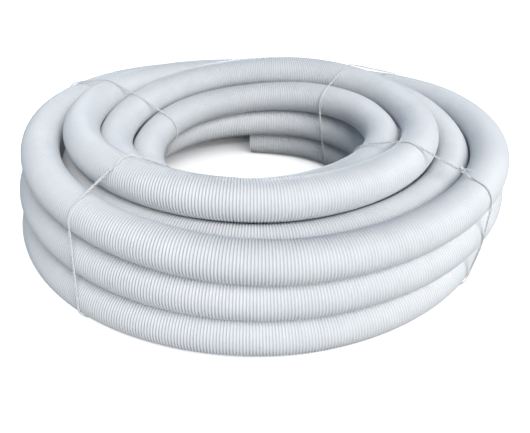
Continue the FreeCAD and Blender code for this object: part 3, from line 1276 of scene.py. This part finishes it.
SKIN = Finish(
    name="ribbed_white_plastic",
    light=(0.855, 0.88, 0.91),
    dark=(0.805, 0.835, 0.87),
    # Painted shade in the rib grooves: a warm grey, laid in by the groove depth.
    valley=(0.52, 0.50, 0.49),
    valley_amount=0.75,
    mottle_scale=14.0,
    grain_scale=1400.0,
    coarse_share=0.35,
    bump_depth=0.00012,
    roughness=(0.42, 0.6),
)
INSIDE = Finish(
    name="smooth_bore_plastic",
    # Greyer than the skin: these tones paint the shade inside the hose onto the bore and the cut faces.
    light=(0.70, 0.72, 0.76),
    dark=(0.62, 0.64, 0.69),
    valley=(0.5, 0.5, 0.5),
    valley_amount=0.0,
    mottle_scale=22.0,
    grain_scale=700.0,
    coarse_share=0.5,
    bump_depth=0.0001,
    roughness=(0.35, 0.5),
)
TWINE = Finish(
    name="white_twine",
    light=(0.97, 0.97, 0.97),
    dark=(0.91, 0.91, 0.91),
    # Painted shade where the plies press together.
    valley=(0.60, 0.59, 0.58),
    valley_amount=0.40,
    mottle_scale=300.0,
    grain_scale=3500.0,
    coarse_share=0.3,
    bump_depth=0.00015,
    roughness=(0.7, 0.9),
    sheen=0.3,
)


# --------------------------------------------------------------------------------------------------
# The studio
# --------------------------------------------------------------------------------------------------


@dataclass(frozen=True)
class SoftLight:
    """One large soft light."""

    name: str
    place: tuple[float, float, float]
    size: float
    power: float
    colour: Colour = WHITE

    def build(self, target: Vector) -> None:
        """Make the light and aim it at a point."""
        data = bpy.data.lights.new(self.name, "AREA")
        data.shape = "SQUARE"
        data.size = self.size
        data.energy = self.power
        data.color = self.colour
        lamp = bpy.data.objects.new(self.name, data)
        lamp.location = self.place
        lamp.rotation_euler = (target - lamp.location).to_track_quat("-Z", "Y").to_euler()
        bpy.context.scene.collection.objects.link(lamp)


@dataclass(frozen=True)
class Studio:
    """The floor, the lights and the camera."""

    floor_half: float = 20.0
    floor_colour: Colour = (0.93, 0.94, 0.95)
    floor_bounce: Colour = (0.42, 0.42, 0.42)
    floor_glow: float = 0.80
    cover_reach: float = 0.15
    cover_samples: int = 8
    covered: float = 0.05
    uncovered: float = 0.30
    ambient: float = 0.31
    ambient_colour: Colour = (0.68, 0.83, 1.0)
    lens: float = 36.55
    sensor: float = 36.0
    shift_x: float = 0.0166
    camera_place: tuple[float, float, float] = (0.0022, -0.7357, 0.4417)
    camera_down: float = 32.9
    camera_left: float = 0.2
    camera_roll: float = 0.3
    lights: tuple[SoftLight, ...] = (
        SoftLight("key_light", (1.1, -2.55, 2.15), 2.2, 100.0, (1.0, 0.98, 0.955)),
        SoftLight("back_light", (-1.3, 3.3, 0.75), 1.4, 72.0, (0.93, 0.97, 1.0)),
    )

    def build(self, target: Vector) -> None:
        """Make the whole studio round a point."""
        self._add_floor()
        self._add_world()
        self._add_camera()
        for light in self.lights:
            light.build(target)
        bpy.context.scene.view_settings.view_transform = "Standard"

    def _add_floor(self) -> None:
        """Make the plain pale floor."""
        mesh = bpy.data.meshes.new("studio_floor")
        half = self.floor_half
        corners = [(-half, -half, 0.0), (half, -half, 0.0), (half, half, 0.0), (-half, half, 0.0)]
        mesh.from_pydata(corners, [], [(0, 1, 2, 3)])
        floor = bpy.data.objects.new("studio_floor", mesh)
        bpy.context.scene.collection.objects.link(floor)
        made = bpy.data.materials.new("pale_floor")
        made.use_nodes = True
        tree = made.node_tree
        shader = tree.nodes["Principled BSDF"]
        seen = add_node(tree, "ShaderNodeLightPath")
        tone = add_node(tree, "ShaderNodeMixRGB")
        set_inputs(
            tone,
            Fac=seen.outputs["Is Camera Ray"],
            Color1=rgba(self.floor_bounce),
            Color2=rgba(self.floor_colour),
        )
        # The floor's own glow fades where the coil covers it.
        open_air = add_node(tree, "ShaderNodeAmbientOcclusion", samples=self.cover_samples)
        set_inputs(open_air, Distance=self.cover_reach)
        lit = add_node(tree, "ShaderNodeMapRange", clamp=True)
        set_inputs(
            lit,
            Value=open_air.outputs["AO"],
            From_Min=self.covered,
            From_Max=self.uncovered,
            To_Max=self.floor_glow,
        )
        glow = add_node(tree, "ShaderNodeMath", operation="MULTIPLY")
        tree.links.new(lit.outputs["Result"], glow.inputs[0])
        tree.links.new(seen.outputs["Is Camera Ray"], glow.inputs[1])
        set_inputs(
            shader,
            Base_Color=tone.outputs["Color"],
            Roughness=0.9,
            Specular_IOR_Level=0.1,
            Emission_Color=rgba(self.floor_colour),
            Emission_Strength=glow.outputs["Value"],
        )
        mesh.materials.append(made)
        floor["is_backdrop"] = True

    def _add_world(self) -> None:
        """Make the even light from all round, which the camera sees as white."""
        world = bpy.data.worlds.new("studio")
        bpy.context.scene.world = world
        world.use_nodes = True
        tree = world.node_tree
        tree.nodes.clear()
        seen = add_node(tree, "ShaderNodeLightPath")
        strength = add_node(tree, "ShaderNodeMapRange", clamp=True)
        set_inputs(strength, Value=seen.outputs["Is Camera Ray"], To_Min=self.ambient, To_Max=1.0)
        tone = add_node(tree, "ShaderNodeMixRGB")
        set_inputs(
            tone,
            Fac=seen.outputs["Is Camera Ray"],
            Color1=rgba(self.ambient_colour),
            Color2=rgba(WHITE),
        )
        background = add_node(tree, "ShaderNodeBackground")
        set_inputs(background, Color=tone.outputs["Color"], Strength=strength.outputs["Result"])
        output = add_node(tree, "ShaderNodeOutputWorld")
        tree.links.new(background.outputs["Background"], output.inputs["Surface"])

    def _add_camera(self) -> None:
        """Make the camera."""
        data = bpy.data.cameras.new("camera")
        data.lens = self.lens
        data.sensor_width = self.sensor
        data.shift_x = self.shift_x
        data.clip_start = 0.01
        data.clip_end = 100.0
        camera = bpy.data.objects.new("camera", data)
        camera.location = self.camera_place
        turn = Euler(
            (
                math.radians(90.0 - self.camera_down),
                math.radians(self.camera_roll),
                math.radians(self.camera_left),
            ),
            "XYZ",
        )
        camera.rotation_euler = turn
        bpy.context.scene.collection.objects.link(camera)
        bpy.context.scene.camera = camera


def main() -> None:
    """Build the hose, its ties and the studio round the frame."""
    logging.basicConfig(level=logging.INFO, format="%(message)s")
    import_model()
    low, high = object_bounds()
    effects = Effects()
    hose = Hose()
    hose.build([SKIN.material(effects), INSIDE.material(effects)])
    twine = TWINE.material(effects)
    ties = (
        Tie("tie_back_right", 45.0, (1.0, 0.1)),
        Tie("tie_front_right", 129.0, (0.3, 1.0), knot_slide=-0.019),
        Tie("tie_front_left", 218.0, (-1.0, 0.1)),
        Tie("tie_back_left", 290.0, (1.0, 0.1)),
    )
    for tie in ties:
        tie.build(twine)
    Studio().build((low + high) / 2.0)
    low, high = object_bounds()


if __name__ == "__main__":
    main()
